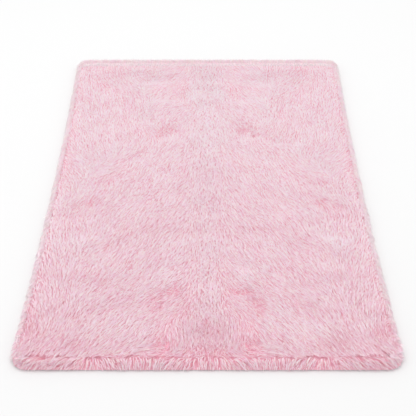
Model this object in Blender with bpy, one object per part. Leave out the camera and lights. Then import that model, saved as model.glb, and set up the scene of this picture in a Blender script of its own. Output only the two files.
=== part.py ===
"""A shag rug lying flat on the floor: one lumpy slab of combed pile, edged with pointed locks.

Units are metres. The long side runs along Y, the rug rests on z = 0, and its left and right
halves mirror each other. The front edge, which looks toward -Y, has a parted furrow behind it.
"""
import math

import bmesh
import bpy
from mathutils import Vector, noise

# Driving dimensions
RUG_WIDTH = 1.20            # along X, over the tips of the locks
RUG_LENGTH = 1.80           # along Y, over the tips of the locks
CORNER_RADIUS = 0.062       # of the outline that the tips reach
WAIST = 0.015               # how far each long side bows in at mid-length
PILE_TOP = 0.0275           # mean height of the combed pile

# The field is the grid inside the rim. The rim is a set of rings, each one set in from the tips.
FIELD_INSET = 0.058
FIELD_CELLS_X = 27
FIELD_CELLS_Y = 42
FURROW_INSET = 0.042
CREST_INSET = 0.033
CREST_HEIGHT = 0.0250
SHOULDER_INSET = 0.0255
SHOULDER_HEIGHT = 0.0205
FOOT_INSET = 0.0275
RIM_LUMP = 0.14             # share by which the rim's height swells and sinks
RIM_LUMP_SIZE = 0.060
ON_EDGE = 0.00001           # how near the field's end a point counts as on it

# Each face of the rim's wall is drawn out into one lock, which lies level on the floor.
LOCK_REACH = 0.0255         # from the wall to the tip, square to the outline
LOCK_REACH_SPREAD = 0.0085
LOCK_REACH_GRAIN = 0.017    # distance along the rim over which the reach changes
LOCK_WIDTH_SPREAD = 0.0075
LOCK_WIDTH_GRAIN = 0.013
EVEN_STRETCH = 0.05         # near the middle of each side the widths grow even
LOCK_TIP_HEIGHT = 0.0014
LOCK_SECTIONS = (           # share of the reach, share of the wall's height, share of its width
    (0.40, 0.78, 0.80),
    (0.76, 0.42, 0.46),
)
LEAN_JITTER = 6.0           # degrees
LEAN_GRAIN = 0.011

# Lean of the locks from square to the outline, in degrees anticlockwise seen from above, by the
# distance along the right half's outline from the middle of the front to the middle of the back.
LEAN_BY_DISTANCE = (
    (0.00, 0.0),
    (0.09, 20.0),
    (0.17, 0.0),
    (0.25, -18.0),
    (0.33, 0.0),
    (0.42, 22.0),
    (0.53, 18.0),
    (0.60, 0.0),
    (0.72, -20.0),
    (1.10, -28.0),
    (1.45, -18.0),
    (1.85, -27.0),
    (2.20, -14.0),
    (2.38, 0.0),
    (2.50, -14.0),
    (2.66, 5.0),
    (2.80, -12.0),
    (2.97, 0.0),
)

# Depth of the furrow below the pile, by Y: deep behind the front edge, faint along the sides.
FURROW_DEPTH_FRONT = 0.0075
FURROW_DEPTH_SIDE = 0.0035
FURROW_DEPTH_BACK = 0.0020
FURROW_END_ZONE = 0.140     # distance from either end where its depth starts to change
FURROW_END_EASE = 0.090     # distance over which it changes

# Swells of the combed pile: length of a wave, its height, and the way it runs from +X, in degrees.
SWELLS = (
    (0.310, 0.0010, 25.0),
    (0.170, 0.0011, -35.0),
    (0.125, 0.0011, 70.0),
)
CLUMP_SIZE = 0.055
CLUMP_HEIGHT = 0.0052

# Partings, where the pile falls two ways: |x|, y, half width, half length and depth.
PARTINGS = (
    (0.145, 0.350, 0.050, 0.060, 0.0065),
    (0.185, 0.275, 0.035, 0.035, 0.0045),
    (0.240, 0.715, 0.060, 0.035, 0.0045),
    (0.130, -0.600, 0.045, 0.050, 0.0065),
    (0.165, -0.680, 0.030, 0.045, 0.0040),
    (0.400, -0.170, 0.060, 0.055, 0.0045),
    (0.300, 0.520, 0.040, 0.090, 0.0030),
    (0.320, -0.390, 0.040, 0.050, 0.0030),
    (0.000, 0.560, 0.030, 0.110, 0.0030),
    (0.000, -0.170, 0.035, 0.050, 0.0030),
)

PILE_COLOUR = (0.830, 0.578, 0.638, 1.0)
PILE_ROUGHNESS = 0.95


def clear_scene():
    for old in list(bpy.data.objects):
        bpy.data.objects.remove(old, do_unlink=True)


def pile_material():
    material = bpy.data.materials.new("pink_pile")
    material.use_nodes = True
    shader = material.node_tree.nodes["Principled BSDF"]
    shader.inputs["Base Color"].default_value = PILE_COLOUR
    shader.inputs["Roughness"].default_value = PILE_ROUGHNESS
    shader.inputs["Metallic"].default_value = 0.0
    return material


def smooth(value):
    value = min(max(value, 0.0), 1.0)
    return value * value * (3.0 - 2.0 * value)


def grain(x, y, size):
    """Even random value from -1 to 1, the same on the left and on the right."""
    return noise.noise(Vector((abs(x), y, size)) / size)


def from_table(rows, place):
    """Read a table of (place, value) rows, easing from one row to the next."""
    for (low, low_value), (high, high_value) in zip(rows, rows[1:]):
        if place <= high:
            share = smooth((place - low) / (high - low))
            return low_value + (high_value - low_value) * share
    return rows[-1][1]


def half_outline(inset):
    """Half sizes, corner radius and length of a quarter of the outline set in by inset."""
    half_width = RUG_WIDTH / 2 - inset
    half_length = RUG_LENGTH / 2 - inset
    radius = max(CORNER_RADIUS - inset, 0.0)
    quarter = half_width + half_length - 2 * radius + math.pi * radius / 2
    return half_width, half_length, radius, quarter


def quarter_point(inset, share):
    """Point and outward normal on the quarter from the front's middle to the right's middle."""
    half_width, half_length, radius, quarter = half_outline(inset)
    travelled = share * quarter
    straight = half_width - radius
    if travelled <= straight:
        return Vector((travelled, -half_length, 0.0)), Vector((0.0, -1.0, 0.0))
    arc = math.pi * radius / 2
    if travelled < straight + arc:
        angle = (travelled - straight) / radius
        normal = Vector((math.sin(angle), -math.cos(angle), 0.0))
        centre = Vector((straight, radius - half_length, 0.0))
        return centre + normal * radius, normal
    rise = travelled - straight - arc
    return Vector((half_width, radius - half_length + rise, 0.0)), Vector((1.0, 0.0, 0.0))


def rim_point(inset, station):
    """Point and normal at a station: 0 front's middle, 1 right's, 2 back's, 3 left's middle."""
    quarter = int(station) % 4
    share = station - int(station)
    if quarter in (1, 3):
        share = 1.0 - share
    point, normal = quarter_point(inset, share)
    if quarter in (1, 2):
        point.y, normal.y = -point.y, -normal.y
    if quarter in (2, 3):
        point.x, normal.x = -point.x, -normal.x
    point.x *= waist_scale(point.y)
    return point, normal


def waist_scale(y):
    along = min(abs(y) / (RUG_LENGTH / 2), 1.0)
    return 1.0 - WAIST / (RUG_WIDTH / 2) * (1.0 - along * along)


def field_station(x, y):
    """Station of a point on the edge of the field, which has square corners."""
    half_width, half_length, _, quarter = half_outline(FIELD_INSET)
    near_end = abs(abs(y) - half_length) < ON_EDGE
    travelled = abs(x) if near_end else half_width + half_length - abs(y)
    from_middle = min(travelled, quarter - travelled)
    shift = grain(x, y, LOCK_WIDTH_GRAIN) * smooth(from_middle / EVEN_STRETCH)
    share = (travelled + LOCK_WIDTH_SPREAD * shift) / quarter
    if y < 0.0:
        return share if x >= 0.0 else 4.0 - share
    return 2.0 - share if x >= 0.0 else 2.0 + share


def pile_height(x, y):
    """Height of the combed pile, the same on the left and on the right."""
    x = abs(x)
    height = PILE_TOP
    for length, swell, heading in SWELLS:
        angle = math.radians(heading)
        phase = (x * math.cos(angle) + y * math.sin(angle)) / length
        height += swell * math.sin(2 * math.pi * phase)
    height += CLUMP_HEIGHT * grain(x, y, CLUMP_SIZE)
    for centre_x, centre_y, half_width, half_length, depth in PARTINGS:
        reach = ((x - centre_x) / half_width) ** 2 + ((y - centre_y) / half_length) ** 2
        height -= depth * math.exp(-reach)
    return height


def furrow_height(point):
    zone_start = RUG_LENGTH / 2 - FURROW_END_ZONE
    toward_front = smooth((-point.y - zone_start) / FURROW_END_EASE)
    toward_back = smooth((point.y - zone_start) / FURROW_END_EASE)
    depth = FURROW_DEPTH_SIDE
    depth += (FURROW_DEPTH_FRONT - FURROW_DEPTH_SIDE) * toward_front
    depth += (FURROW_DEPTH_BACK - FURROW_DEPTH_SIDE) * toward_back
    return pile_height(point.x, point.y) - depth


def rim_lump(point):
    return 1.0 + RIM_LUMP * grain(point.x, point.y, RIM_LUMP_SIZE)


def crest_height(point):
    return CREST_HEIGHT * rim_lump(point)


def shoulder_height(point):
    return SHOULDER_HEIGHT * rim_lump(point)


def foot_height(point):
    return 0.0


def add_field():
    """The grid inside the rim, raised to the pile's height."""
    bpy.ops.mesh.primitive_grid_add(x_subdivisions=FIELD_CELLS_X,
                                    y_subdivisions=FIELD_CELLS_Y, size=2.0)
    rug = bpy.context.object
    rug.name = rug.data.name = "shag_rug"
    half_width, half_length, _, _ = half_outline(FIELD_INSET)
    for vertex in rug.data.vertices:
        vertex.co.x *= half_width
        vertex.co.y *= half_length
    return rug


def add_ring(mesh, edges, station_layer, inset, height_at):
    """Draw the open edge out to a new ring; returns its edges and the faces it made."""
    made = bmesh.ops.extrude_edge_only(mesh, edges=edges)["geom"]
    for vertex in made:
        if isinstance(vertex, bmesh.types.BMVert):
            point, _ = rim_point(inset, vertex[station_layer])
            vertex.co = (point.x, point.y, height_at(point))
    faces = [item for item in made if isinstance(item, bmesh.types.BMFace)]
    ring = [item for item in made if isinstance(item, bmesh.types.BMEdge)
            and len(item.link_faces) == 1]
    return ring, faces


def lock_direction(station, normal, jitter):
    """Way that a lock points: square to the outline, turned by its lean."""
    quarters = station if station <= 2.0 else 4.0 - station
    quarter_length = half_outline(0.0)[3]
    lean = from_table(LEAN_BY_DISTANCE, quarters * quarter_length) + jitter * LEAN_JITTER
    if station > 2.0:
        lean = -lean
    angle = math.radians(lean)
    turned_x = normal.x * math.cos(angle) - normal.y * math.sin(angle)
    turned_y = normal.x * math.sin(angle) + normal.y * math.cos(angle)
    return Vector((turned_x, turned_y, 0.0))


def lock_plan(face, station_layer):
    """Root of the lock that grows from one face of the wall, and its run to the tip."""
    stations = [vertex[station_layer] for vertex in face.verts]
    if max(stations) - min(stations) > 2.0:
        stations = [value if value > 2.0 else value + 4.0 for value in stations]
    station = (sum(stations) / len(stations)) % 4.0
    root = face.calc_center_median()
    root.z = 0.0
    _, normal = rim_point(FOOT_INSET, station)
    reach = LOCK_REACH + LOCK_REACH_SPREAD * grain(root.x, root.y, LOCK_REACH_GRAIN)
    direction = lock_direction(station, normal, grain(root.x, root.y, LEAN_GRAIN))
    return root, direction * (reach / direction.dot(normal))


def draw_out_locks(mesh, wall, layers):
    """Draw each face of the wall out into a tapered, four-sided lock that ends in a point."""
    station_layer, corner_layer, lock_layer = layers
    plans = [lock_plan(face, station_layer) for face in wall]
    for number, face in enumerate(wall):
        face[lock_layer] = number
        for vertex in face.verts:
            vertex[corner_layer] = vertex.co
    faces = wall
    for reach_share, height_share, width_share in LOCK_SECTIONS:
        faces = bmesh.ops.extrude_discrete_faces(mesh, faces=faces)["faces"]
        for face in faces:
            root, run = plans[face[lock_layer]]
            for vertex in face.verts:
                corner = vertex[corner_layer]
                across = Vector((corner.x - root.x, corner.y - root.y, 0.0)) * width_share
                vertex.co = root + run * reach_share + across
                vertex.co.z = corner.z * height_share
    for tip in bmesh.ops.poke(mesh, faces=faces)["verts"]:
        root, run = plans[tip.link_faces[0][lock_layer]]
        tip.co = root + run
        tip.co.z = LOCK_TIP_HEIGHT


def centre_on_floor(mesh):
    """Stand the middle of the rug's box over the origin."""
    for axis in (0, 1):
        places = [vertex.co[axis] for vertex in mesh.verts]
        middle = (min(places) + max(places)) / 2
        for vertex in mesh.verts:
            vertex.co[axis] -= middle


def build_rug():
    rug = add_field()
    mesh = bmesh.new()
    mesh.from_mesh(rug.data)
    edge = [item for item in mesh.edges if item.is_boundary]
    bmesh.ops.subdivide_edges(mesh, edges=edge, cuts=1)
    mesh.verts.layers.float.new("station")
    mesh.verts.layers.float_vector.new("corner")
    mesh.faces.layers.int.new("lock")
    layers = (mesh.verts.layers.float["station"], mesh.verts.layers.float_vector["corner"],
              mesh.faces.layers.int["lock"])
    station_layer = layers[0]
    edge = [item for item in mesh.edges if item.is_boundary]
    for item in edge:
        for vertex in item.verts:
            vertex[station_layer] = field_station(vertex.co.x, vertex.co.y) % 4.0
    for vertex in mesh.verts:
        vertex.co.x *= waist_scale(vertex.co.y)
        vertex.co.z = pile_height(vertex.co.x, vertex.co.y)

    edge, _ = add_ring(mesh, edge, station_layer, FURROW_INSET, furrow_height)
    edge, _ = add_ring(mesh, edge, station_layer, CREST_INSET, crest_height)
    edge, _ = add_ring(mesh, edge, station_layer, SHOULDER_INSET, shoulder_height)
    edge, wall = add_ring(mesh, edge, station_layer, FOOT_INSET, foot_height)
    bmesh.ops.triangle_fill(mesh, edges=edge, use_beauty=True)
    draw_out_locks(mesh, wall, layers)
    centre_on_floor(mesh)

    bmesh.ops.recalc_face_normals(mesh, faces=mesh.faces)
    mesh.to_mesh(rug.data)
    mesh.free()
    rug.data.materials.append(pile_material())
    return rug


def main():
    clear_scene()
    collection = bpy.data.collections.new("shag_rug_parts")
    bpy.context.scene.collection.children.link(collection)
    rug = build_rug()
    for home in list(rug.users_collection):
        home.objects.unlink(rug)
    collection.objects.link(rug)


main()
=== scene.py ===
"""The looks of a pale pink shag rug: pointed locks of long pile over a dense undercoat and a
cloth backing, seen in soft studio light.

Sizes are in metres and angles in degrees, unless said otherwise. The tables describe the right
half, and the left half is combed as its mirror image, as on the real rug.
"""
import math

import bpy
import numpy as np
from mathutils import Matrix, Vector
from mathutils.bvhtree import BVHTree


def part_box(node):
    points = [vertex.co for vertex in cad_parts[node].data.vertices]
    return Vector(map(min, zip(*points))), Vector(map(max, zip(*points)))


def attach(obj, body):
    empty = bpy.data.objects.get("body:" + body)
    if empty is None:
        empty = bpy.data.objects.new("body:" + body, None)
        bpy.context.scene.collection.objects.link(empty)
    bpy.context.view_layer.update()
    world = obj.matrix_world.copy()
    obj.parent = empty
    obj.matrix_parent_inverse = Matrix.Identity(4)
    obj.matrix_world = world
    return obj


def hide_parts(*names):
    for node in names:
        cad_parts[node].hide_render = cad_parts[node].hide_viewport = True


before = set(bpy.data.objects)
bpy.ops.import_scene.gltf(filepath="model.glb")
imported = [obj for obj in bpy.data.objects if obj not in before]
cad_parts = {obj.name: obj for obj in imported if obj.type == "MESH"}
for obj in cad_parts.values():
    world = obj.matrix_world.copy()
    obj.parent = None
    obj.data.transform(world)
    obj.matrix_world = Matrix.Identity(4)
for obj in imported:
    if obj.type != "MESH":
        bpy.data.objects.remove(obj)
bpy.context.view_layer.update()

NODE = "shag_rug"
LOW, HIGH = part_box(NODE)
HALF_WIDTH = (HIGH[0] - LOW[0]) / 2
HALF_LENGTH = (HIGH[1] - LOW[1]) / 2
CORNER_RADIUS = 0.062
INNER_RADIUS = 0.8 * CORNER_RADIUS      # at the corners of the undercoat and the backing
WAIST = 0.015               # how far each long side bows in at mid-length

# Camera, for a square picture
CAMERA_PLACE = (0.0022, -2.565, 2.005)
CAMERA_PITCH = 39.48        # below level
CAMERA_LENS = 73.84         # millimetres
SENSOR_WIDTH = 36.0         # millimetres

# Studio
FLOOR_SIZE = 200.0
FLOOR_COLOUR = (0.7, 0.7, 0.7)
WORLD_STRENGTH = 1.03
SOFTBOX_PLACE = (-0.4, 0.7, 5.2)
SOFTBOX_SIZE = (8.0, 6.0)
SOFTBOX_POWER = 170.0       # watts

# Locks and their fibres
SEED = 7
LOCK_PITCH = 0.0049         # mean distance between the roots of neighbouring locks
LOCK_RUN = 0.036            # along the floor, from root to tip
LOCK_RISE = 0.012           # from a lock's root up to its tip, inside the rim
# Fibres in a lock, places along a fibre from root to tip, and its width there, where the first
# and last places are points; then the radius of the lock near its root.
FIELD_FIBRES = (4, (0.24, 0.58, 1.0), (0.00130,), 0.0007)
RIM_FIBRES = (4, (0.0, 0.34, 0.70, 1.0), (0.00143, 0.00117), 0.0010)
FIBRE_REACH = (0.78, 1.0)   # shortest and longest fibre, as shares of the lock
FACING_FROM = 35.0          # direction round the lock that the first fibre faces,
FACING_SPAN = 110.0         # and from there to the last
LOWEST_POINT = 0.0006       # of any fibre, above the floor
SEEN_PLACE = 2              # place along a fibre, from 0, where its wisp is read
TRIANGLES_A_PIECE = 195000  # at most

# Colour map of the fibres
UV_MAP = "OFBake"
TINTS = 36                  # columns, from deep pink to pale
HUES = 5                    # narrower columns inside each, from mauve to beige
TOP_TINT = 0.78             # the highest of the pink tints
PALE_TINT = 0.865           # tints from here up are the greyer ones of the side and back edges
TINT_SCATTER = 0.07         # between the fibres of a lock
HUE_SCATTER = 0.28          # between locks
# Colours by tint, at a fibre's root and at its tip; the deeper pink at the root is partly painted
# shade of the deep pile
SHADED_ROOT_COLOURS = (
    (0.00, (0.860, 0.412, 0.512)),
    (0.45, (0.938, 0.716, 0.778)),
    (0.78, (0.982, 0.885, 0.935)),
    (0.86, (0.925, 0.800, 0.835)),
    (1.00, (0.940, 0.905, 0.915)),
)
TIP_COLOURS = (
    (0.00, (0.926, 0.745, 0.816)),
    (0.45, (0.960, 0.914, 0.943)),
    (0.78, (0.995, 0.997, 0.999)),
    (0.86, (0.915, 0.845, 0.868)),
    (1.00, (0.945, 0.945, 0.947)),
)
# Share of the tip's colour, by place along a fibre; then factors of colour, by hue and by streak
TIP_SHARE = ((0.0, 0.0), (0.30, 0.15), (0.70, 0.80), (1.0, 1.0))
HUE_COLOURS = ((0.0, (1.0, 0.950, 1.0)), (0.4, (1.0, 1.0, 1.0)), (0.8, (1.0, 1.0, 0.965)))
STREAK_COLOURS = ((0.30, (1.0, 0.965, 0.975)), (0.70, (1.0, 1.0, 1.0)))
STREAKS_ACROSS = 2.0        # over a fibre's width
STREAKS_ALONG = 5.0         # and over its length
STREAK_ROUGHNESS = (0.62, 0.88)
STREAK_DEPTH = 0.0004
STREAK_BUMP = 0.25          # strength
LIGHT_THROUGH = 0.50        # share of the light that comes through the fibres
# The undercoat's deep pink is the pile's colour with painted shade of its depths
UNDERCOAT_SHADED_COLOURS = ((0.3, (0.86, 0.430, 0.530)), (0.7, (0.92, 0.59, 0.67)))
UNDERCOAT_FUZZ = 260.0      # scale of its noise
FUZZ_DEPTH = 0.003
CLOTH_COLOURS = ((0.62, 0.42, 0.46), (0.72, 0.54, 0.57))
CLOTH_WEAVE = 900.0         # scale of its threads
WEAVE_DEPTH = 0.0004

# Wisps: neighbouring locks that hold together along the combing
PLAN_STEP = 0.0018
WISP_WALK = 10              # steps each way along the combing
WISP_LIFT = 0.0006          # how much they rise
WISP_TINT = 0.205           # how much their tints differ
WISP_PULL = 0.0022          # how far the locks' tips are drawn sideways into them
WISP_PULL_LIMIT = 0.006

# Outside a parting that runs all round, the pile falls over the edge
FRONT_PARTING = 0.040       # inset of the parting along the front
SIDE_PARTING = 0.026        # and along the sides and the back
CLOSED_SHIFT = 0.011        # how much nearer the edge the inner pile comes where it is closed

# Roots of the inner pile
FRONT_ZONE = 0.12           # how far in from the front edge its parting counts
FRONT_START = 0.001         # how far in from its parting the inner pile begins
SIDE_START = -0.009
FRONT_START_SCATTER = 0.0025
SIDE_START_SCATTER = 0.0040
FURROW_THINNING = 0.42      # share of locks missing at the front parting,
FURROW_THIN_REACH = 0.020   # and how far in that reaches
PATCH_THINNING = 0.20       # share of locks missing in a patch
PATCH_APART = 0.20          # loss of height at which a patch has fallen quite apart
SEAM_CROWDING = 0.085       # half the width over which extra locks stand between the halves
SEAM_REACH = 0.070          # half the width over which the pile there is ruffled
CALM_FROM = 0.007           # this far outside the side and back partings the pile is ruffled,
CALM_REACH = 0.020          # and this much further in it is calm

# Lie of the inner pile
SEEN_ALONG = 0.6            # how far along from its root a lock is seen
BROAD_TURNS = (6.0, 0.11)   # angle, and size of the waves
SMALL_TURNS = (4.0, 0.035)
HEADING_SCATTER = 5.0
RUFFLE = 22.0               # scatter of the headings where the pile is ruffled
SEAM_RUFFLE = 0.8           # shares of it between the halves and in the patches
PATCH_RUFFLE = 2.0
RUN_SCATTER = 0.12
RUN_LIMITS = (0.6, 1.4)     # shares of the usual run
STANDING_RUN = 0.30         # and what is left of it where the pile stands

# Where the inner pile stops at the front parting
STOP_SHORT = 0.001
STOP_WAVES = (0.003, 0.03)  # height, and size of the waves
STOP_SCATTER = 0.005
CORNER_FROM = 0.38          # from here out, ever more locks stop short and don't turn aside
CORNER_FADE = 0.06
STOPPING_SHARE = 0.4        # of the locks elsewhere that stop short
ASIDE_SCATTER = 0.006
SHORTEST_STOPPED = 0.35     # share of its run that a lock that stops keeps at least

# Heights of the inner pile
EDGE_OF_CREST = 0.05        # tips nearer the side and back edges take the solid's height here,
FRONT_OF_CREST = 0.064      # and nearer the front edge, here
SIDE_SQUEEZE = 0.97         # share of x at which the height is read, except by the front
TIP_SCATTER = 0.0005
BACK_SWELL = 0.0045         # how much higher the pile is at the back, from y 0.70 on
LOWEST_TIP = 0.006
HIGHEST_TIP = HIGH[2] + 0.0055
CREST_LIFT = 0.003          # how far a lock's middle is drawn above its tip
FIELD_BEND = 0.24           # how far along its run a lock's middle is drawn
SWAY_SCATTER = 0.0015

# Tints of the inner pile
FIELD_TINT = 0.75
TINT_WAVES = (0.02, 0.16)   # height, and size of the waves
FRONTWARD_SHADE_TINT = -0.20      # painted shade, deeper towards the front, from y 0.6 on
NEAR_FRONT_SHADE_TINT = -0.12     # and more so from y -0.45 on
SIDE_EDGE_TINT_AND_LIGHT = 0.32       # by the side partings, paler towards the back: the edge band's own paler colour, and partly painted light over the shade where the rim's roots meet the inner pile
BACK_PARTING_SHADE_TINT = -0.36     # painted shade by the back parting, on raised tips that catch the light
# Painted shade in the crease of the front parting, and how far in from it that reaches
FURROW_SHADE_TINT = -0.46
FURROW_SHADE_REACH = 0.024
UNEVEN_FRONT = 0.190        # how much neighbouring locks differ in tint, at the front
UNEVEN_LESS = 0.060         # and how much less at the back
FURROW_LIVELY = 3.6         # how many times more they differ at the furrow and in the patches
PATCH_LIVELY = 2.2
GREYER_SHARE = 0.5          # of the locks at the back edge, from y 0.835 on
HUE_WAVES = (0.10, 0.03)    # height, and size of the waves

# Rows of the rim: inset of roots along the front, and of tips; pull up, tip height, and pitch
RIM_ROWS = (
    (0.0385, 0.010, 0.044, 0.0140, 0.0050),
    (0.035, 0.004, 0.043, 0.0070, 0.0052),
    (0.030, 0.001, 0.039, 0.0030, 0.0056),
    (0.024, -0.001, 0.031, 0.0014, 0.0064),
    (0.018, -0.002, 0.020, 0.0008, 0.0064),
)
BACK_REACH = 0.018          # how much further the pile bulges out at the back
TUFT_LENGTH = 0.032         # along the sides
TUFT_REACH = 0.0044         # how much further out a tuft's crest reaches
TUFT_TURN = 10.0            # lean of a tuft's locks
SPLIT_TURN = 16.0           # lean of its two halves, away from each other
SPLIT_SHORTER = 0.0030      # how much less far out the locks reach between them
RIM_SHORTEST = 0.007        # run of a lock
RIM_BEND = 0.56             # how far along its run a lock's middle is drawn
RIM_TINT = 0.53
RIM_UNEVEN = 0.50           # how much neighbouring locks differ in tint
RIM_TOP_TINT = 0.70
LOW_ROWS_SHADE_TINT = -0.12       # painted shade under the overhang, for the rows with roots nearer the edge than 0.02
BESIDE_TINT = 0.56          # at the side edges
BESIDE_SCATTER = 0.12
# Painted shade in the gap where a tuft parts in two
SPLIT_SHADE_TINT = -0.10

# How open the front parting is, by distance from the middle
FURROW_OPEN = (
    (0.000, 0.6), (0.055, 0.6), (0.068, 1.0), (0.080, 0.7), (0.100, 0.5),
    (0.130, 1.0), (0.160, 0.6), (0.185, 0.7), (0.210, 1.0), (0.250, 0.5),
    (0.280, 0.5), (0.305, 1.0), (0.355, 1.0), (0.370, 0.4), (0.395, 0.5),
    (0.410, 1.0), (0.430, 0.7), (0.445, 0.9), (0.525, 0.9), (0.550, 0.5),
)
# Lean of the rim's locks from square to the outline, anticlockwise, by the distance along the
# right half's outline from the middle of the front to the middle of the back.
LEAN_BY_DISTANCE = (
    (0.00, 0.0), (0.03, 5.0), (0.06, 40.0), (0.12, 38.0), (0.15, 6.0),
    (0.24, -6.0), (0.27, -36.0), (0.33, -32.0), (0.345, -12.0), (0.36, 14.0),
    (0.38, 40.0), (0.42, 52.0), (0.54, 50.0), (0.60, 12.0), (0.70, -30.0),
    (1.10, -48.0), (1.45, -42.0), (1.85, -48.0), (2.20, -35.0), (2.38, 0.0),
    (2.47, 5.0), (2.56, -15.0), (2.66, 5.0), (2.80, 20.0), (2.97, 0.0),
)

# The way the pile is combed on the right half: |x|, y, heading in degrees from +X, and reach.
COMB_STROKES = (
    (0.03, 0.80, -88, 0.06), (0.14, 0.81, -58, 0.08), (0.27, 0.81, -84, 0.05),
    (0.37, 0.80, -108, 0.06), (0.52, 0.82, -86, 0.08), (0.17, 0.74, -42, 0.05),
    (0.27, 0.75, -112, 0.03), (0.42, 0.73, -128, 0.06), (0.53, 0.70, -102, 0.08),
    (0.07, 0.64, -104, 0.05), (0.16, 0.66, -74, 0.05), (0.25, 0.68, -40, 0.04),
    (0.33, 0.66, -126, 0.06), (0.17, 0.56, -52, 0.06), (0.32, 0.56, -97, 0.07),
    (0.45, 0.58, -92, 0.08), (0.13, 0.47, -62, 0.07), (0.54, 0.45, -110, 0.09),
    (0.41, 0.42, -84, 0.06), (0.12, 0.36, -80, 0.05), (0.20, 0.35, -112, 0.06),
    (0.30, 0.36, -112, 0.05), (0.46, 0.30, -98, 0.07), (0.15, 0.20, -64, 0.07),
    (0.27, 0.21, -70, 0.06), (0.42, 0.22, -114, 0.04), (0.51, 0.15, -134, 0.06),
    (0.22, 0.06, -74, 0.08), (0.38, 0.08, -50, 0.06), (0.54, 0.03, -118, 0.06),
    (0.14, -0.04, -68, 0.07), (0.35, -0.03, -82, 0.05), (0.45, -0.02, -78, 0.05),
    (0.30, -0.12, -58, 0.06), (0.42, -0.13, -66, 0.06), (0.12, -0.20, -60, 0.07),
    (0.25, -0.27, -70, 0.09), (0.46, -0.25, -98, 0.06), (0.37, -0.35, -58, 0.06),
    (0.20, -0.42, -68, 0.09), (0.52, -0.42, -106, 0.09), (0.10, -0.47, -52, 0.05),
    (0.42, -0.46, -68, 0.06), (0.15, -0.60, -46, 0.06), (0.28, -0.62, -56, 0.09),
    (0.44, -0.68, -76, 0.08), (0.54, -0.62, -110, 0.08), (0.22, -0.73, -60, 0.07),
    (0.09, -0.77, -100, 0.04), (0.36, -0.78, -64, 0.07), (0.05, -0.84, -36, 0.03),
    (0.16, -0.845, -12, 0.035), (0.30, -0.86, -36, 0.04), (0.50, -0.84, -64, 0.05),
)
# How the pile lies between the strokes
LOOSE_HEADING = -88.0
LOOSE_WEIGHT = 0.02
COMBED_APART_FROM = 0.025   # from the middle out, where the halves begin to be combed apart,
COMBED_APART_OVER = 0.070   # and over what distance

PATCH_STRENGTH = 0.95       # share of the painted light and shade below that is used
# Patches of the right half: |x|, y, half width, half length, share of the pile's height that is
# lost where it falls apart, and change of tint: painted light and shade, below zero for a deeper
# pink in the shaded dents and above it for broad patches that catch the light.
PATCHES = (
    (0.15, 0.35, 0.04, 0.03, 0.16, -0.26), (0.19, 0.31, 0.02, 0.02, 0.14, -0.26),
    (0.10, 0.335, 0.025, 0.02, 0.06, -0.12), (0.31, 0.49, 0.028, 0.06, 0.06, -0.16),
    (0.39, 0.77, 0.05, 0.03, 0.04, -0.14), (0.00, 0.75, 0.05, 0.025, 0.04, -0.14),
    (0.14, 0.65, 0.03, 0.03, 0.04, -0.12), (0.42, -0.13, 0.03, 0.025, 0.10, -0.16),
    (0.48, -0.16, 0.03, 0.022, 0.10, -0.16), (0.46, -0.215, 0.035, 0.016, 0.08, -0.14),
    (0.57, -0.02, 0.025, 0.02, 0.06, -0.16), (0.39, -0.02, 0.03, 0.02, 0.04, -0.14),
    (0.11, -0.06, 0.022, 0.022, 0.05, -0.16), (0.20, -0.06, 0.03, 0.02, 0.02, -0.10),
    (0.00, -0.29, 0.06, 0.025, 0.04, -0.12), (0.00, 0.04, 0.085, 0.08, 0.02, -0.14),
    (0.00, -0.12, 0.06, 0.04, 0.02, -0.14), (0.20, -0.28, 0.08, 0.03, 0.04, -0.14),
    (0.345, -0.37, 0.018, 0.035, 0.08, -0.10), (0.32, -0.56, 0.06, 0.02, 0.04, -0.12),
    (0.50, -0.52, 0.07, 0.025, 0.04, -0.14), (0.115, -0.59, 0.035, 0.02, 0.18, -0.34),
    (0.165, -0.64, 0.022, 0.045, 0.18, -0.34), (0.14, -0.83, 0.028, 0.028, 0.20, -0.30),
    (0.54, -0.77, 0.03, 0.04, 0.04, -0.18), (0.40, -0.82, 0.04, 0.03, 0.04, -0.18),
    (0.00, -0.78, 0.10, 0.10, 0.00, -0.22), (0.57, -0.78, 0.07, 0.12, 0.00, -0.10),
    (0.00, -0.71, 0.04, 0.03, 0.00, 0.14), (0.24, -0.74, 0.07, 0.04, 0.00, 0.19),
    (0.34, -0.76, 0.05, 0.03, 0.00, 0.18), (0.50, -0.74, 0.03, 0.02, 0.00, 0.16),
    (0.48, -0.345, 0.08, 0.025, 0.00, 0.20), (0.13, -0.52, 0.025, 0.03, 0.00, 0.24),
    (0.25, 0.60, 0.05, 0.05, 0.00, 0.08), (0.12, 0.50, 0.05, 0.04, 0.00, 0.08),
)

# Undercoat
UNDERCOAT_GRID = (72, 108)
UNDERCOAT_INSET = 0.006
UNDERCOAT_BELOW = 0.0085    # how far it lies under the solid's upper side
UNDERCOAT_LOWEST = 0.006    # its height in the patches
UNDERCOAT_EDGE = 0.0022     # its height at the outline,
UNDERCOAT_ROLL = 0.020      # from where it rises over this distance
UNDERCOAT_SINK = 0.9        # share of the pile's loss of height that it follows

# Backing
BACKING_INSET = 0.024
BACKING_THICKNESS = 0.0018


def smooth(value):
    value = np.clip(value, 0.0, 1.0)
    return value * value * (3.0 - 2.0 * value)


def unit(vectors):
    return vectors / (np.linalg.norm(vectors, axis=-1, keepdims=True) + 1e-12)


def waist_scale(y):
    along = np.clip(np.abs(y) / HALF_LENGTH, 0.0, 1.0)
    return 1.0 - WAIST / HALF_WIDTH * (1.0 - along * along)


def side_inset(x, y):
    return HALF_WIDTH - np.abs(x) / waist_scale(y)


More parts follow.
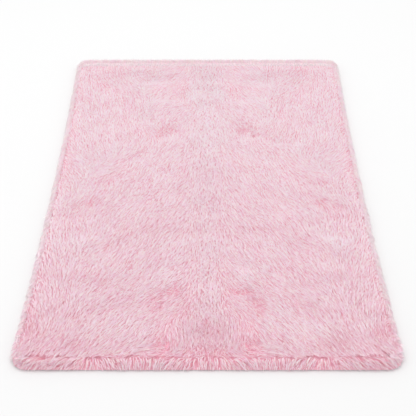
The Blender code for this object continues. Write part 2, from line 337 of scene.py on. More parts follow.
def inset_of(x, y):
    """Distance in from the outline."""
    straight_x = CORNER_RADIUS - side_inset(x, y)
    straight_y = np.abs(y) - (HALF_LENGTH - CORNER_RADIUS)
    outside = np.hypot(np.maximum(straight_x, 0.0), np.maximum(straight_y, 0.0))
    inside = np.minimum(np.maximum(straight_x, straight_y), 0.0)
    return CORNER_RADIUS - outside - inside


def quarter_length():
    return HALF_WIDTH + HALF_LENGTH - 2 * CORNER_RADIUS + math.pi * CORNER_RADIUS / 2


def half_outline_point(distance, inset):
    """Points and outward normals on the right half's outline, set in, by distance from the
    middle of the front."""
    quarter = quarter_length()
    back = distance > quarter
    travelled = np.where(back, 2 * quarter - distance, distance)
    straight = HALF_WIDTH - CORNER_RADIUS
    arc = math.pi * CORNER_RADIUS / 2
    angle = np.clip((travelled - straight) / CORNER_RADIUS, 0.0, math.pi / 2)
    rise = np.maximum(travelled - straight - arc, 0.0)
    normal_x, normal_y = np.sin(angle), -np.cos(angle)
    radius = CORNER_RADIUS - inset
    x = np.minimum(travelled, straight) + normal_x * radius
    y = CORNER_RADIUS - HALF_LENGTH + normal_y * radius + rise
    y = np.where(back, -y, y)
    normal_y = np.where(back, -normal_y, normal_y)
    return x * waist_scale(y), y, normal_x, normal_y


def grain(rng, x, y, size):
    """Smooth random value of about -1 to 1, from a few waves each way in two sizes."""
    value = np.zeros_like(x)
    for weight in (1.0, 1.9):
        for _ in range(7):
            heading = rng.uniform(0.0, 2 * math.pi)
            length = size / weight * rng.uniform(0.75, 1.35)
            phase = rng.uniform(0.0, 2 * math.pi)
            run = (x * math.cos(heading) + y * math.sin(heading)) / length
            value += np.sin(2 * math.pi * run + phase) / weight
    return value / 3.0


def grain_along(rng, distance, size):
    return grain(rng, distance, np.zeros_like(distance), size)


def unlike_neighbours(rng, count):
    """Random values for things in a row, which even out over a few of them."""
    values = rng.standard_normal(count)
    width = 5
    return values - np.convolve(values, np.full(width, 1.0 / width), "same")


def furrow_wave(x):
    """How the front parting wanders."""
    return (0.0026 * np.sin(61.0 * x + 0.8) + 0.0020 * np.sin(137.0 * x + 2.1)
            + 0.0014 * np.sin(293.0 * x + 1.0))


def furrow_open(x):
    return np.interp(np.abs(x), *np.array(FURROW_OPEN).T)


def parting_inset(x, y):
    """Inset of the parting that divides the inner pile from the rim's."""
    front = smooth((CORNER_RADIUS + 0.010 - HALF_LENGTH - y) / 0.020)
    inset = SIDE_PARTING + (FRONT_PARTING - SIDE_PARTING) * front
    return inset + furrow_wave(np.abs(x)) * front


def comb_vector(x, y):
    """East and north parts of the pile's lie. It is shorter where the pile turns, and stands."""
    east = np.full_like(x, LOOSE_WEIGHT * math.cos(math.radians(LOOSE_HEADING)))
    north = np.full_like(x, LOOSE_WEIGHT * math.sin(math.radians(LOOSE_HEADING)))
    total = np.full_like(x, LOOSE_WEIGHT)
    for stroke_x, stroke_y, heading, reach in COMB_STROKES:
        weight = np.exp(-((np.abs(x) - stroke_x) ** 2 + (y - stroke_y) ** 2) / reach ** 2)
        east += weight * math.cos(math.radians(heading))
        north += weight * math.sin(math.radians(heading))
        total += weight
    away = np.sign(x) * smooth((np.abs(x) - COMBED_APART_FROM) / COMBED_APART_OVER)
    return east / total * away, north / total


def patch_values(x, y):
    """Share of the pile's height that is lost, and change of tint."""
    # The change of tint is painted light and shade.
    loss, change = np.zeros_like(x), np.zeros_like(x)
    for centre_x, centre_y, half_width, half_length, share, tint in PATCHES:
        reach = ((np.abs(x) - centre_x) / half_width) ** 2 + ((y - centre_y) / half_length) ** 2
        loss = np.maximum(loss, share * np.exp(-reach))
        change += PATCH_STRENGTH * tint * np.exp(-reach)
    return loss, change


def read_plan(values, x, y):
    """Value at each place, from a plan of the rug with a value every PLAN_STEP."""
    column = np.clip((x + HALF_WIDTH) / PLAN_STEP, 0.0, values.shape[0] - 1.001)
    row = np.clip((y + HALF_LENGTH) / PLAN_STEP, 0.0, values.shape[1] - 1.001)
    left, low = column.astype(int), row.astype(int)
    right_share, high_share = column - left, row - low
    lower = values[left, low] * (1 - right_share) + values[left + 1, low] * right_share
    upper = values[left, low + 1] * (1 - right_share) + values[left + 1, low + 1] * right_share
    return lower * (1 - high_share) + upper * high_share


def spread(plan, reach):
    """The plan with each value shared over a square that reaches this many steps each way."""
    for axis in (0, 1):
        plan = sum(np.roll(plan, step, axis) for step in range(-reach, reach + 1))
        plan = plan / (2 * reach + 1)
    return plan


def wisp_plan(rng):
    """Random plan of the rug that changes quickly across the combing and slowly along it."""
    x, y = np.meshgrid(np.arange(-HALF_WIDTH, HALF_WIDTH + 0.01, PLAN_STEP),
                       np.arange(-HALF_LENGTH, HALF_LENGTH + 0.01, PLAN_STEP), indexing="ij")
    specks = rng.standard_normal(x.shape)
    for axis in (0, 1):
        specks = specks + 0.12 * (np.roll(specks, 1, axis) + np.roll(specks, -1, axis))
    specks -= spread(spread(specks, 2), 2)
    east, north = comb_vector(x, y)
    wisps = specks.copy()
    for way in (-1, 1):
        walk_x, walk_y = x.copy(), y.copy()
        for _ in range(WISP_WALK):
            step_x, step_y = read_plan(east, walk_x, walk_y), read_plan(north, walk_x, walk_y)
            walk_x = walk_x + way * PLAN_STEP * step_x
            walk_y = walk_y + way * PLAN_STEP * step_y
            wisps += read_plan(specks, walk_x, walk_y)
    wisps -= spread(spread(wisps, 2), 2)
    return wisps / wisps.std()


def wisp_pull(wisps, x, y, heading):
    """How steeply the wisps rise to the left of each heading."""
    rise_x, rise_y = np.gradient(wisps, axis=0), np.gradient(wisps, axis=1)
    return read_plan(rise_y, x, y) * np.cos(heading) - read_plan(rise_x, x, y) * np.sin(heading)


def top_of_solid():
    """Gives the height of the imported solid's upper side at many places."""
    solid = bpy.data.objects[NODE].data
    tree = BVHTree.FromPolygons([vertex.co for vertex in solid.vertices],
                                [polygon.vertices for polygon in solid.polygons])
    down = Vector((0.0, 0.0, -1.0))

    def height(x, y):
        found = np.zeros(len(x))
        for number, (px, py) in enumerate(zip(x, y)):
            hit = tree.ray_cast(Vector((px, py, 0.2)), down)[0]
            found[number] = hit.z if hit is not None else 0.0
        return found
    return height


def scattered(rng, pitch):
    """Places spread evenly but irregularly over the rug."""
    columns = np.arange(-HALF_WIDTH, HALF_WIDTH, pitch)
    rows = np.arange(-HALF_LENGTH, HALF_LENGTH, pitch * math.sqrt(3) / 2)
    x, y = np.meshgrid(columns, rows)
    x[1::2] += pitch / 2
    x = x.ravel() + rng.uniform(-0.25, 0.25, x.size) * pitch
    y = y.ravel() + rng.uniform(-0.25, 0.25, y.size) * pitch
    return x, y


def field_roots(rng):
    """Where the inner pile is rooted, and what its parting, combing and patches are there."""
    x, y = scattered(rng, LOCK_PITCH)
    # The halves are combed apart, so between them the locks stand closer.
    seam_x, seam_y = scattered(rng, 2.0 * LOCK_PITCH)
    between = np.abs(seam_x) < SEAM_CROWDING
    x, y = np.append(x, seam_x[between]), np.append(y, seam_y[between])
    past_parting = inset_of(x, y) - parting_inset(x, y)
    by_front = y + HALF_LENGTH < np.minimum(side_inset(x, y), FRONT_ZONE)
    east, north = comb_vector(x, y)
    seen = SEEN_ALONG * LOCK_RUN
    loss, change = patch_values(x + seen * east, y + seen * north)
    apart = smooth(loss / PATCH_APART)

    start = np.where(by_front, FRONT_START - CLOSED_SHIFT * (1.0 - furrow_open(x)), SIDE_START)
    scatter = np.where(by_front, FRONT_START_SCATTER, SIDE_START_SCATTER)
    keep = past_parting > start + scatter * rng.standard_normal(len(x))
    by_furrow = by_front * smooth((FURROW_THIN_REACH - past_parting) / FURROW_THIN_REACH)
    keep &= rng.random(len(x)) > FURROW_THINNING * by_furrow
    keep &= rng.random(len(x)) > PATCH_THINNING * apart

    calm = np.where(by_front, 1.0, smooth((past_parting + CALM_FROM) / CALM_REACH))
    seam = 1.0 - smooth(np.abs(x) / SEAM_REACH)
    roots = dict(x=x, y=y, past_parting=past_parting, by_front=by_front, east=east, north=north,
                 loss=loss, change=change, apart=apart, calm=calm, seam=seam)
    return {name: values[keep] for name, values in roots.items()}


def combed_lie(rng, roots):
    """Heading and run of the inner pile's locks, before the front parting stops them."""
    x, y = roots["x"], roots["y"]
    heading = np.arctan2(roots["north"], roots["east"])
    for angle, size in (BROAD_TURNS, SMALL_TURNS):
        heading += math.radians(angle) * grain(rng, x, y, size)
    heading += math.radians(HEADING_SCATTER) * rng.standard_normal(len(x))
    # By the side and back partings, where the halves meet and in the patches, it is ruffled.
    ruffle = np.maximum(1.0 - roots["calm"], SEAM_RUFFLE * roots["seam"])
    ruffle = np.maximum(ruffle, PATCH_RUFFLE * roots["apart"])
    heading += math.radians(RUFFLE) * ruffle * rng.standard_normal(len(x))
    run = LOCK_RUN * (1.0 + RUN_SCATTER * rng.standard_normal(len(x)))
    run = np.clip(run, RUN_LIMITS[0] * LOCK_RUN, RUN_LIMITS[1] * LOCK_RUN)
    lying = np.clip(np.hypot(roots["east"], roots["north"]), STANDING_RUN, 1.0)
    run *= lying * (0.70 + 0.30 * roots["calm"])
    return heading, run


def stopped_lie(rng, roots, heading, run):
    """Heading and run once the locks behind the front edge turn aside at its parting or, near
    the corners and here and there, stop short of it."""
    x, y = roots["x"], roots["y"]
    step_x, step_y = run * np.cos(heading), run * np.sin(heading)
    stop = parting_inset(x + step_x, y) - STOP_SHORT
    stop = stop + STOP_WAVES[0] * grain(rng, x, y, STOP_WAVES[1])
    stop += STOP_SCATTER * rng.standard_normal(len(x)) - CLOSED_SHIFT * (1.0 - furrow_open(x))
    room = np.where(roots["by_front"], np.maximum(y + HALF_LENGTH - stop, 0.0), 1.0)
    cornered = smooth((np.abs(x) - CORNER_FROM) / CORNER_FADE)
    cornered = np.maximum(cornered, rng.random(len(x)) < STOPPING_SHARE)
    aside_y = np.maximum(step_y, -room - ASIDE_SCATTER * rng.random(len(x)))
    aside_x = np.sign(x) * np.sqrt(np.maximum(run ** 2 - aside_y ** 2, 0.0))
    aside_x = np.where(aside_y > step_y, aside_x, step_x)
    kept = np.maximum(np.minimum(room / np.maximum(-step_y, 1e-6), 1.0), SHORTEST_STOPPED)
    step_x = cornered * step_x * kept + (1.0 - cornered) * aside_x
    step_y = cornered * step_y * kept + (1.0 - cornered) * aside_y
    return np.arctan2(step_y, step_x), np.hypot(step_x, step_y)


def tip_heights(rng, roots, heading, run, wisps, height_at):
    """Heights of the inner pile's tips, which lie on the solid's upper side."""
    x, y = roots["x"], roots["y"]
    tip_x, tip_y = x + run * np.cos(heading), y + run * np.sin(heading)
    # The pile keeps its height right up to the partings.
    crest_x = np.clip(tip_x, EDGE_OF_CREST - HALF_WIDTH, HALF_WIDTH - EDGE_OF_CREST)
    crest_x = crest_x * np.where(roots["by_front"], 1.0, SIDE_SQUEEZE)
    crest_y = np.clip(tip_y, FRONT_OF_CREST - HALF_LENGTH, HALF_LENGTH - EDGE_OF_CREST)
    tip_z = height_at(crest_x, crest_y)
    wisp = read_plan(wisps, x + 0.5 * run * np.cos(heading), y + 0.5 * run * np.sin(heading))
    tip_z += WISP_LIFT * wisp + TIP_SCATTER * rng.standard_normal(len(x))
    tip_z *= 1.0 - roots["loss"]
    tip_z += BACK_SWELL * smooth((tip_y - 0.70) / 0.17)
    return np.clip(tip_z, LOWEST_TIP, HIGHEST_TIP)


def field_tints(rng, roots):
    """Tints of the inner pile's locks, and how many times more than usual they differ."""
    x, y = roots["x"], roots["y"]
    past_parting = roots["past_parting"]
    # Painted shade: the tint deepens towards the front, away from the light from above and
    # behind.
    tint = FIELD_TINT + roots["change"] + FRONTWARD_SHADE_TINT * smooth((0.6 - y) / 1.2)
    # Paler by the side partings: partly the edge band's own colour, partly painted light over the
    # shade where the rim's roots meet the inner pile.
    side_edge_tint_and_light = SIDE_EDGE_TINT_AND_LIGHT * smooth((y + 0.80) / 0.6)
    by_side = side_inset(x, y) < 0.06
    # By the back parting the tint is a deeper pink: painted shade.
    tint += (1.0 - roots["calm"]) * np.where(by_side, side_edge_tint_and_light, BACK_PARTING_SHADE_TINT)
    waves = TINT_WAVES[0] * grain(rng, x, y, TINT_WAVES[1])
    tint += waves + NEAR_FRONT_SHADE_TINT * smooth((-0.45 - y) / 0.4)
    # Deeper pink near the front parting: painted shade in its crease.
    furrow = smooth((FURROW_SHADE_REACH - past_parting) / FURROW_SHADE_REACH)
    furrow = np.where(roots["by_front"], furrow, 0.0)
    lively = 1.0 + np.maximum(FURROW_LIVELY * furrow, PATCH_LIVELY * roots["apart"])
    uneven = UNEVEN_FRONT - UNEVEN_LESS * smooth((y - 0.1) / 0.6)
    tint += uneven * lively * unlike_neighbours(rng, len(x)) + FURROW_SHADE_TINT * furrow
    greyer = rng.random(len(x)) < GREYER_SHARE * smooth((y - 0.835) / 0.040)
    return np.where(greyer, PALE_TINT + 0.01, np.clip(tint, 0.0, TOP_TINT)), lively


def field_locks(rng, wisps, height_at):
    """The locks inside the rim, combed over each other."""
    roots = field_roots(rng)
    x, y = roots["x"], roots["y"]
    count = len(x)
    heading, run = combed_lie(rng, roots)
    heading, run = stopped_lie(rng, roots, heading, run)
    tip_z = tip_heights(rng, roots, heading, run, wisps, height_at)
    tint, lively = field_tints(rng, roots)
    pull = np.clip(WISP_PULL * wisp_pull(wisps, x, y, heading), -WISP_PULL_LIMIT, WISP_PULL_LIMIT)
    return dict(x=x, y=y, heading=heading, run=run,
                root_z=tip_z - LOCK_RISE * (0.6 + 0.4 * roots["calm"]),
                mid_z=tip_z + CREST_LIFT, tip_z=tip_z, bend=np.full(count, FIELD_BEND),
                sway=pull + SWAY_SCATTER * rng.standard_normal(count), tint=tint,
                wispy=WISP_TINT * lively * (1.0 - 0.7 * roots["seam"]),
                hue=0.5 + HUE_WAVES[0] * grain(rng, x, y, HUE_WAVES[1])
                + HUE_SCATTER * rng.standard_normal(count))


def rim_locks(rng):
    """Rows of locks that roll over the rug's edge and come to rest on the floor."""
    rows = [rim_row(rng, way, *row) for way in (1, -1) for row in RIM_ROWS]
    return {name: np.concatenate([row[name] for row in rows]) for name in rows[0]}


def edges_faced(distance):
    """How far the outline faces the front, a side and the back."""
    normal_x, normal_y = half_outline_point(distance, 0.0)[2:]
    front = smooth((0.1 - normal_y) / 0.8)
    side = smooth((np.abs(normal_x) - 0.6) / 0.3)
    back = smooth((normal_y - 0.2) / 0.6)
    return front, side, back


def rim_root_insets(rng, distance, root_inset, front):
    """Insets of a row's roots, which are nearer the edge along the sides and the back."""
    narrow = SIDE_PARTING / FRONT_PARTING
    inset = root_inset * (narrow + (1.0 - narrow) * front)
    inset += furrow_wave(distance) * front * root_inset / FRONT_PARTING
    return inset + (0.0015 + 0.0025 * front) * rng.standard_normal(len(distance))


def tuft_phase(distance, inset, lean, wobble):
    """Phase in the tufts where a lock meets the outline, in radians."""
    met = distance + inset * np.tan(np.radians(lean))
    return 2 * math.pi * met / TUFT_LENGTH + wobble


def rim_lean(rng, distance, inset, side):
    """Lean of each lock of a row, its phase in its tuft, and how far its tuft parts there."""
    lean = np.interp(distance, *np.array(LEAN_BY_DISTANCE).T)
    # Along the sides the locks gather in tufts, and every tuft parts in two.
    wobble = 2.0 * grain_along(rng, distance, 0.08)
    tuft = tuft_phase(distance, inset, lean, wobble)
    lean += side * (TUFT_TURN * np.cos(tuft) + SPLIT_TURN * np.sin(2.0 * tuft))
    lean += (9.0 - 4.0 * side) * grain_along(rng, distance, 0.05)
    lean += (7.0 - 3.0 * side) * rng.standard_normal(len(distance))
    tuft = tuft_phase(distance, inset, lean, wobble)
    split = side * smooth((np.cos(2.0 * tuft) - 0.1) / 0.7)
    return lean, tuft, split


def rim_run(rng, distance, reach, lean, side, tuft, split):
    """How far along its heading each lock of a row goes, to reach this far square to the edge."""
    reach = reach + (0.0004 + 0.0006 * side) * grain_along(rng, distance, 0.04)
    reach += (side * (TUFT_REACH * np.sin(tuft) - SPLIT_SHORTER * split)
              + 0.0005 * rng.standard_normal(len(distance)))
    return np.maximum(reach, RIM_SHORTEST) / np.maximum(np.cos(np.radians(lean)), 0.5)


def kept_inside(x, y, heading, run, tip_inset, side):
    """Runs shortened round the front corners, where the locks lean far over."""
    for _ in range(4):
        over = tip_inset - inset_of(x + run * np.cos(heading), y + run * np.sin(heading))
        run = run - 0.8 * np.maximum(over - 0.002, 0.0) * (y < 0.0) * (1.0 - side)
    return run


def rim_tints(rng, y, root_inset, side, back, split):
    """Tints of a row's locks. Towards the back most of the side edges' locks are greyer, and
    fewer where the tufts part."""
    count = len(y)
    tint = RIM_TINT + RIM_UNEVEN * unlike_neighbours(rng, count)
    # The rows nearest the edge take a deeper pink: painted shade under the overhang.
    tint = np.minimum(tint + LOW_ROWS_SHADE_TINT * (root_inset < 0.02), RIM_TOP_TINT)
    beside = BESIDE_TINT - 0.08 * smooth((y + 0.8) / 0.3)
    beside = beside + BESIDE_SCATTER * rng.standard_normal(count)
    tint = np.where(side > 0.5, beside, tint)
    pale = PALE_TINT + 0.04 + 0.08 * side + 0.07 * back + 0.04 * rng.standard_normal(count)
    share = np.maximum(side * smooth((y + 0.85) / 0.27) * (0.90 - 0.3 * split), back)
    # Where a tuft parts, the locks take a deeper pink: painted shade in the gap.
    return np.where(rng.random(count) < share, np.maximum(pale, PALE_TINT),
                    np.minimum(tint + SPLIT_SHADE_TINT * split, TOP_TINT))


def rim_row(rng, way, root_inset, tip_inset, pull_up, tip_height, pitch):
    """One row, round the right half (way 1) or its mirror image (way -1)."""
    distance = np.arange(pitch / 2, 2 * quarter_length(), pitch)
    count = len(distance)
    distance += rng.uniform(-0.4, 0.4, count) * pitch
    front, side, back = edges_faced(distance)
    inset = rim_root_insets(rng, distance, root_inset, front)
    x, y, normal_x, normal_y = half_outline_point(distance, inset)
    lean, tuft, split = rim_lean(rng, distance, inset, side)
    reach = inset - tip_inset + BACK_REACH * back
    run = rim_run(rng, distance, reach, lean, side, tuft, split)
    heading = np.arctan2(normal_y, normal_x) + np.radians(lean)
    run = kept_inside(x, y, heading, run, tip_inset, side)
    tint = rim_tints(rng, y, root_inset, side, back, split)
    raised = min(max((root_inset - 0.024) / 0.011, 0.0), 1.0)
    fuller = 1.0 + 0.33 * back + 0.05 * side * np.sin(tuft) - 0.22 * split
    return dict(x=way * x, y=y, heading=heading if way == 1 else math.pi - heading, run=run,
                root_z=0.006 + np.maximum(0.015 * np.maximum(side, back), 0.010 * raised),
                mid_z=pull_up * fuller * rng.uniform(0.92, 1.06, count),
                tip_z=tip_height * rng.uniform(0.7, 1.3, count),
                bend=np.full(count, RIM_BEND), sway=0.0018 * rng.standard_normal(count),
                tint=tint, wispy=np.zeros(count),
                hue=0.5 + HUE_SCATTER * rng.standard_normal(count))


def lay_fibres(rng, locks, fibres, stations, widths, radius):
    """Middle line, sideways direction and half width of each fibre.

    A lock is a bundle whose fibres face up and outwards, and close to a point.
    """
    count = len(locks["x"])

    def each(name):
        return locks[name][:, None, None]

    ahead = np.stack([np.cos(locks["heading"]), np.sin(locks["heading"]), np.zeros(count)], 1)
    across = np.stack([-ahead[:, 1], ahead[:, 0], np.zeros(count)], 1)
    ahead, across = ahead[:, None, None, :], across[:, None, None, :]
    up = np.array((0.0, 0.0, 1.0))

    reach = rng.uniform(*FIBRE_REACH, (count, fibres, 1))
    t = np.array(stations)[None, None, :] * reach
    rest = 1.0 - t
    along = each("run") * (2.0 * t * rest * each("bend") + t * t)
    height = each("root_z") * rest ** 2 + 2.0 * each("mid_z") * t * rest + each("tip_z") * t * t
    sway = each("sway") * t * t

    slots = (np.arange(fibres) + rng.uniform(0.15, 0.85, (count, fibres))) / fibres
    facing = math.radians(FACING_FROM) + math.radians(FACING_SPAN) * slots[..., None]
    bundle = radius * (1.0 - smooth((t - 0.25) / 0.80)) + 0.0005
    bundle = bundle * rng.uniform(0.8, 1.2, (count, fibres, 1))
    side_offset = (1.3 * np.cos(facing) * bundle + sway)[..., None]
    up_offset = (np.sin(facing) * bundle - radius + height)[..., None]
    middle = ahead * along[..., None] + across * side_offset + up * up_offset
    middle[..., 0] += each("x")
    middle[..., 1] += each("y")

    outward = across * np.cos(facing)[..., None] + up * np.sin(facing)[..., None]
    tangent = unit(np.gradient(middle, axis=2))
    sideways = unit(np.cross(tangent, np.broadcast_to(outward, tangent.shape)))
    half = 0.5 * rng.uniform(0.75, 1.25, (count, fibres, 1)) * np.array(widths)[None, None, :]
    return middle, sideways, half


def fibre_points(middle, sideways, half):
    """A fibre's points: one at its root, a pair at each place between, and one at its tip."""
    points = np.empty((len(middle), 2 * half.shape[1] + 2, 3))
    points[:, 0] = middle[:, 0]
    points[:, 1:-1:2] = middle[:, 1:-1] - sideways[:, 1:-1] * half[..., None]
    points[:, 2:-1:2] = middle[:, 1:-1] + sideways[:, 1:-1] * half[..., None]
    points[:, -1] = middle[:, -1]
    points[..., 2] = np.maximum(points[..., 2], LOWEST_POINT)
    return points


def fibre_faces(steps):
    """A fibre's faces: it opens from a point at its root and closes to one at its tip, with
    four-sided faces between."""
    last = 2 * steps + 1
    between = [(2 * step - 1, 2 * step, 2 * step + 2, 2 * step + 1) for step in range(1, steps)]
    return [(0, 2, 1), *between, (last - 2, last - 1, last)]


def colour_map_places(stations, steps, tint, hue):
    """Where each point of each fibre lies on the colour map: a narrow column for its tint and
    hue, from the root up to the tip."""
    across = np.array([0.5] + [0.2, 0.8] * steps + [0.5])
    along = np.array([stations[0], *np.repeat(stations[1:-1], 2), stations[-1]])
    tint_column = np.clip((tint * TINTS).astype(int), 0, TINTS - 1)
    hue_column = np.clip((hue * HUES).astype(int), 0, HUES - 1)
    places = np.empty((len(tint), len(across), 2))
    places[..., 0] = (tint_column[:, None] + (hue_column[:, None] + across) / HUES) / TINTS
    places[..., 1] = 0.01 + 0.98 * along
    return places


def pile_mesh(name, stations, middle, sideways, half, tint, hue):
    """One mesh of many fibres."""
    steps = half.shape[1]
    points = fibre_points(middle, sideways, half)
    count, size = points.shape[:2]
    faces = fibre_faces(steps)
    corners = np.array([corner for face in faces for corner in face])
    loops = corners + (np.arange(count) * size)[:, None]
    totals = np.tile([len(face) for face in faces], count)

    mesh = bpy.data.meshes.new(name)
    mesh.vertices.add(count * size)
    mesh.vertices.foreach_set("co", points.ravel())
    mesh.loops.add(loops.size)
    mesh.loops.foreach_set("vertex_index", loops.ravel())
    mesh.polygons.add(len(totals))
    mesh.polygons.foreach_set("loop_start", np.concatenate([[0], np.cumsum(totals)[:-1]]))
    mesh.polygons.foreach_set("use_smooth", np.ones(len(totals), bool))
    mesh.update(calc_edges=True)
    layer = mesh.uv_layers.new(name=UV_MAP)
    places = colour_map_places(stations, steps, tint, hue)
    layer.uv.foreach_set("vector", places[:, corners].ravel())
    return mesh


def fill(tree, node, sockets):
    """Sets or links these sockets of a node."""
    for name, value in sockets.items():
        if isinstance(value, bpy.types.NodeSocket):
            tree.links.new(value, node.inputs[name])
        else:
            node.inputs[name].default_value = value
    return node


def add(tree, kind, sockets, **settings):
    """A new node, with these settings and sockets."""
    node = tree.nodes.new("ShaderNode" + kind)
    for name, value in settings.items():
        setattr(node, name, value)
    return fill(tree, node, sockets)


def ramp(tree, factor, stops):
    node = add(tree, "ValToRGB", {0: factor})
    elements = node.color_ramp.elements
    for element, (place, colour) in zip(elements, (stops[0], stops[-1])):
        element.position = place
        element.color = (*colour, 1.0)
    for place, colour in stops[1:-1]:
        elements.new(place).color = (*colour, 1.0)
    return node.outputs["Color"]


def calculated(tree, operation, value, second=0.5):
    return add(tree, "Math", {0: value, 1: second}, operation=operation).outputs[0]


def blended(tree, factor, first, second, kind="MIX"):
    sockets = {"Factor": factor, "A": first, "B": second}
    return add(tree, "Mix", sockets, data_type="RGBA", blend_type=kind).outputs["Result"]


def noise(tree, place, scale):
    sockets = {"Scale": scale, "Detail": 3.0, "Vector": place}
    return add(tree, "TexNoise", sockets).outputs["Fac"]


def bumped(tree, height, distance, strength=1.0):
    sockets = {"Strength": strength, "Distance": distance, "Height": height}
    return add(tree, "Bump", sockets).outputs["Normal"]


def object_place(tree):
    return add(tree, "TexCoord", {}).outputs["Object"]


def new_material(name):
    """A material, its node tree and its shader."""
    material = bpy.data.materials.new(name)
    material.use_nodes = True
    return material, material.node_tree, material.node_tree.nodes["Principled BSDF"]


def root_to_tip_colour(tree, across, along):
    """Colour of a fibre's tint, from its root to its tip."""
    # The deeper pink towards the root is partly painted shade of the deep pile.
    column = calculated(tree, "SNAP", across, 1.0 / TINTS)
    share = ramp(tree, along, [(place, (tip, tip, tip)) for place, tip in TIP_SHARE])
    return blended(tree, share, ramp(tree, column, SHADED_ROOT_COLOURS), ramp(tree, column, TIP_COLOURS))


def hue_colour(tree, across):
    """Some locks are a little mauve, and some a little beige."""
    within_tint = calculated(tree, "FRACT", calculated(tree, "MULTIPLY", across, TINTS))
    return ramp(tree, calculated(tree, "SNAP", within_tint, 1.0 / HUES), HUE_COLOURS)


def fibre_streaks(tree, place):
    """Fine streaks along the fibres."""
    scale = (TINTS * HUES * STREAKS_ACROSS, STREAKS_ALONG, 1.0)
    stretch = add(tree, "Mapping", {"Scale": scale, "Vector": place})
    return noise(tree, stretch.outputs["Vector"], 1.0)


def fibre_material():
    material, tree, shader = new_material("pink_fibre")
    place = add(tree, "UVMap", {}, uv_map=UV_MAP).outputs["UV"]
    apart = add(tree, "SeparateXYZ", {0: place})
    across, along = apart.outputs["X"], apart.outputs["Y"]
    streaks = fibre_streaks(tree, place)
    colour = root_to_tip_colour(tree, across, along)
    for factor in (hue_colour(tree, across), ramp(tree, streaks, STREAK_COLOURS)):
        colour = blended(tree, 1.0, colour, factor, "MULTIPLY")
    smoothest, roughest = STREAK_ROUGHNESS
    rough = add(tree, "MapRange", {"Value": streaks, "To Min": smoothest, "To Max": roughest})
    normal = bumped(tree, streaks, STREAK_DEPTH, STREAK_BUMP)
    fill(tree, shader, {"Base Color": colour, "Roughness": rough.outputs["Result"],
                        "Specular IOR Level": 0.2, "Normal": normal})
    through = add(tree, "BsdfTranslucent", {"Color": colour, "Normal": normal})
    both = add(tree, "MixShader", {"Fac": LIGHT_THROUGH, 1: shader.outputs["BSDF"],
                                   2: through.outputs["BSDF"]})
    fill(tree, tree.nodes["Material Output"], {"Surface": both.outputs[0]})
    return material


def undercoat_material():
    material, tree, shader = new_material("pink_undercoat_painted_shade")
    # Deep pink, partly painted shade of the pile's depths.
    fuzz = noise(tree, object_place(tree), UNDERCOAT_FUZZ)
    fill(tree, shader, {"Base Color": ramp(tree, fuzz, UNDERCOAT_SHADED_COLOURS), "Roughness": 0.95,
                        "Specular IOR Level": 0.1, "Normal": bumped(tree, fuzz, FUZZ_DEPTH)})
    return material


def backing_material():
    material, tree, shader = new_material("backing_cloth")
    weft, warp = CLOTH_COLOURS
    weave = add(tree, "TexChecker", {"Scale": CLOTH_WEAVE, "Color1": (*weft, 1.0),
                                     "Color2": (*warp, 1.0), "Vector": object_place(tree)})
    normal = bumped(tree, weave.outputs["Fac"], WEAVE_DEPTH)
    fill(tree, shader, {"Base Color": weave.outputs["Color"], "Roughness": 0.9, "Normal": normal})
    return material


def finish_piece(piece, material):
    piece.data.materials.append(material)
    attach(piece, "root")
    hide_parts(NODE)


def fibre_tints(rng, locks, fibres, seen, wisps):
    """Tint of each fibre, which stays either among the pink tints or among the greyer ones."""
    own = TINT_SCATTER * rng.standard_normal((len(locks["x"]), fibres))
    wisp = locks["wispy"][:, None] * read_plan(wisps, seen[..., 0], seen[..., 1])
    tint = locks["tint"][:, None] + own + wisp
    pale = locks["tint"][:, None] > TOP_TINT
    return np.where(pale, np.clip(tint, PALE_TINT, 0.999), np.clip(tint, 0.0, TOP_TINT))


def make_strands(name, rng, locks, kind, wisps, material):
    """Joined meshes of the fibres of many locks, in bands from the front to the back."""
    fibres, stations, widths, radius = kind
    laid = lay_fibres(rng, locks, fibres, stations, widths, radius)
    tint = fibre_tints(rng, locks, fibres, laid[0][:, :, SEEN_PLACE], wisps)
    hue = np.repeat(locks["hue"][:, None], fibres, axis=1)
    order = np.argsort(locks["y"], kind="stable")
    triangles = len(order) * fibres * 2 * len(widths)
    pieces = []
    bands = np.array_split(order, math.ceil(triangles / TRIANGLES_A_PIECE))
    for number, chosen in enumerate(bands):
        parts = [array[chosen].reshape(-1, *array.shape[2:]) for array in (*laid, tint, hue)]
        title = f"{name}_{number + 1}"
        piece = bpy.data.objects.new(title, pile_mesh(title, stations, *parts))
        bpy.context.scene.collection.objects.link(piece)
        finish_piece(piece, material)
        pieces.append(piece)
    return pieces


def make_pile(height_at):
    rng = np.random.default_rng(SEED)
    wisps = wisp_plan(rng)
    material = fibre_material()
    field = field_locks(rng, wisps, height_at)
    pieces = make_strands("pile", rng, field, FIELD_FIBRES, wisps, material)
    return pieces + make_strands("rim", rng, rim_locks(rng), RIM_FIBRES, wisps, material)


def undercoat_plan(across, along):
    """Places of a square grid's points on the rug: the grid's outer rings take its outline."""
    ring = np.maximum(np.abs(across), np.abs(along))
    edge = smooth((ring - 0.55) / 0.45)
    width, length = HALF_WIDTH - UNDERCOAT_INSET, HALF_LENGTH - UNDERCOAT_INSET
    radius = INNER_RADIUS
    x, y = across * width, along * length
    corner_x = np.maximum(np.abs(x) - (width - radius), 0.0)
    corner_y = np.maximum(np.abs(y) - (length - radius), 0.0)
    square = np.maximum(corner_x, corner_y)
    round_off = square / np.maximum(np.hypot(corner_x, corner_y), 1e-9)
    pull = np.where(square > 0.0, round_off, 1.0)
    pull = 1.0 - (1.0 - pull) * edge
    x = np.sign(x) * (np.minimum(np.abs(x), width - radius) + corner_x * pull)
    y = np.sign(y) * (np.minimum(np.abs(y), length - radius) + corner_y * pull)
    return x * waist_scale(y), y


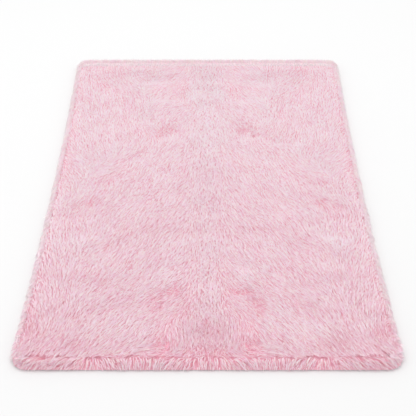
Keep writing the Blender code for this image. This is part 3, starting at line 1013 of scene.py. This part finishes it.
def undercoat_height(x, y, height_at):
    """Height of the undercoat, which lies under the pile and rolls down at the outline."""
    z = height_at(x * 0.995, y * 0.995) - UNDERCOAT_BELOW
    z = np.maximum(z * (1.0 - UNDERCOAT_SINK * patch_values(x, y)[0]), UNDERCOAT_LOWEST)
    roll = smooth((inset_of(x, y) - UNDERCOAT_INSET) / UNDERCOAT_ROLL)
    return UNDERCOAT_EDGE + (z - UNDERCOAT_EDGE) * np.sqrt(roll)


def make_undercoat(height_at):
    """The dense foot of the pile, which fills the rug below the locks."""
    bpy.ops.object.select_all(action="DESELECT")
    bpy.ops.mesh.primitive_grid_add(x_subdivisions=UNDERCOAT_GRID[0],
                                    y_subdivisions=UNDERCOAT_GRID[1], size=2.0)
    piece = bpy.context.object
    piece.name = piece.data.name = "undercoat"
    spots = np.empty(len(piece.data.vertices) * 3)
    piece.data.vertices.foreach_get("co", spots)
    across, along = spots.reshape(-1, 3)[:, :2].T
    x, y = undercoat_plan(across, along)
    spots = np.stack([x, y, undercoat_height(x, y, height_at)], 1)
    piece.data.vertices.foreach_set("co", spots.ravel())
    piece.data.update()
    for polygon in piece.data.polygons:
        polygon.use_smooth = True
    finish_piece(piece, undercoat_material())
    return piece


def make_backing():
    """The cloth that the pile stands on, flat on the floor."""
    half_width, half_length = HALF_WIDTH - BACKING_INSET, HALF_LENGTH - BACKING_INSET
    bpy.ops.object.select_all(action="DESELECT")
    bpy.ops.mesh.primitive_plane_add(size=2.0)
    piece = bpy.context.object
    piece.name = piece.data.name = "backing"
    for vertex in piece.data.vertices:
        vertex.co.x *= half_width
        vertex.co.y *= half_length
    bpy.ops.object.mode_set(mode="EDIT")
    bpy.ops.mesh.select_all(action="SELECT")
    bpy.ops.mesh.bevel(offset=INNER_RADIUS, segments=8, affect="VERTICES")
    bpy.ops.mesh.select_all(action="SELECT")
    up = (0, 0, BACKING_THICKNESS)
    bpy.ops.mesh.extrude_region_move(TRANSFORM_OT_translate={"value": up})
    bpy.ops.mesh.select_all(action="SELECT")
    bpy.ops.mesh.normals_make_consistent(inside=False)
    bpy.ops.object.mode_set(mode="OBJECT")
    finish_piece(piece, backing_material())
    return piece


def make_floor():
    bpy.ops.object.select_all(action="DESELECT")
    bpy.ops.mesh.primitive_plane_add(size=FLOOR_SIZE)
    floor = bpy.context.object
    floor.name = "floor"
    material, tree, shader = new_material("pale_floor")
    fill(tree, shader, {"Base Color": (*FLOOR_COLOUR, 1.0), "Roughness": 0.9,
                        "Specular IOR Level": 0.0})
    floor.data.materials.append(material)


def make_surroundings():
    """Even white light from all round."""
    world = bpy.data.worlds.new("studio")
    world.use_nodes = True
    background = world.node_tree.nodes["Background"]
    background.inputs["Color"].default_value = (1.0, 1.0, 1.0, 1.0)
    background.inputs["Strength"].default_value = WORLD_STRENGTH
    bpy.context.scene.world = world


def make_softbox():
    """A large soft light from above and a little behind."""
    light = bpy.data.lights.new("softbox", "AREA")
    light.shape = "RECTANGLE"
    light.size, light.size_y = SOFTBOX_SIZE
    light.energy = SOFTBOX_POWER
    box = bpy.data.objects.new("softbox", light)
    box.location = SOFTBOX_PLACE
    box.rotation_euler = (-Vector(SOFTBOX_PLACE)).to_track_quat("-Z", "Y").to_euler()
    bpy.context.scene.collection.objects.link(box)


def make_camera():
    camera = bpy.data.cameras.new("camera")
    camera.lens = CAMERA_LENS
    camera.sensor_width = SENSOR_WIDTH
    view = bpy.data.objects.new("camera", camera)
    view.location = CAMERA_PLACE
    view.rotation_euler = (math.radians(90.0 - CAMERA_PITCH), 0.0, 0.0)
    bpy.context.scene.collection.objects.link(view)
    bpy.context.scene.camera = view


bpy.context.scene.view_settings.view_transform = "Standard"
make_floor()
make_surroundings()
make_softbox()
make_camera()
height_at = top_of_solid()
pieces = make_pile(height_at)
pieces.append(make_undercoat(height_at))
make_backing()
